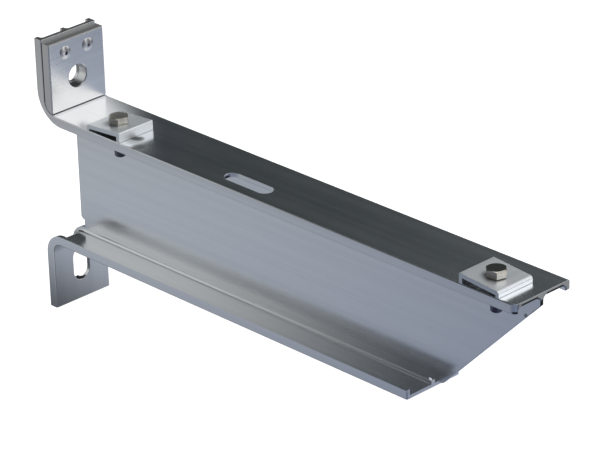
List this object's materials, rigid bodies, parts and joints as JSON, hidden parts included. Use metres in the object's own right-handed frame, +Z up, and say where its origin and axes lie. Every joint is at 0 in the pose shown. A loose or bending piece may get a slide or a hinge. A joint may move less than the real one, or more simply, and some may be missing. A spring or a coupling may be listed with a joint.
{
  "type": "wall bracket",
  "caption": "Cantilever wall bracket bent from a lipped I-section, with a wall lug above and below, a sloped free end and hold-down clamps on its top.",
  "frame": {"origin": "on the wall, on the middle line of the web, level with the top end of the upper lug", "axes": "+X out from the wall along the arm, +Z up, +Y across the arm, away from the side that the clamps sit nearer to"},
  "size_m": [0.45, 0.05, 0.206],
  "materials": {
    "arm": "drawn, mill finish",
    "pad": "sawn flat bar, mill finish",
    "rivet": "bright",
    "mandrel": "plain, broken off",
    "clamp": "bright, mill finish",
    "bolt": "stainless",
    "washer": "stainless",
    "nut": "stainless"
  },
  "bodies": {
    "root": {"arm": "arm", "lug_pad": "pad", "rivet_bodies": "rivet", "rivet_mandrels": "mandrel", "clamp_wall_side": "clamp", "clamp_free_side": "clamp", "clamp_bolts": "bolt", "clamp_washers": "washer", "clamp_nuts": "nut"}
  },
  "joints": []
}
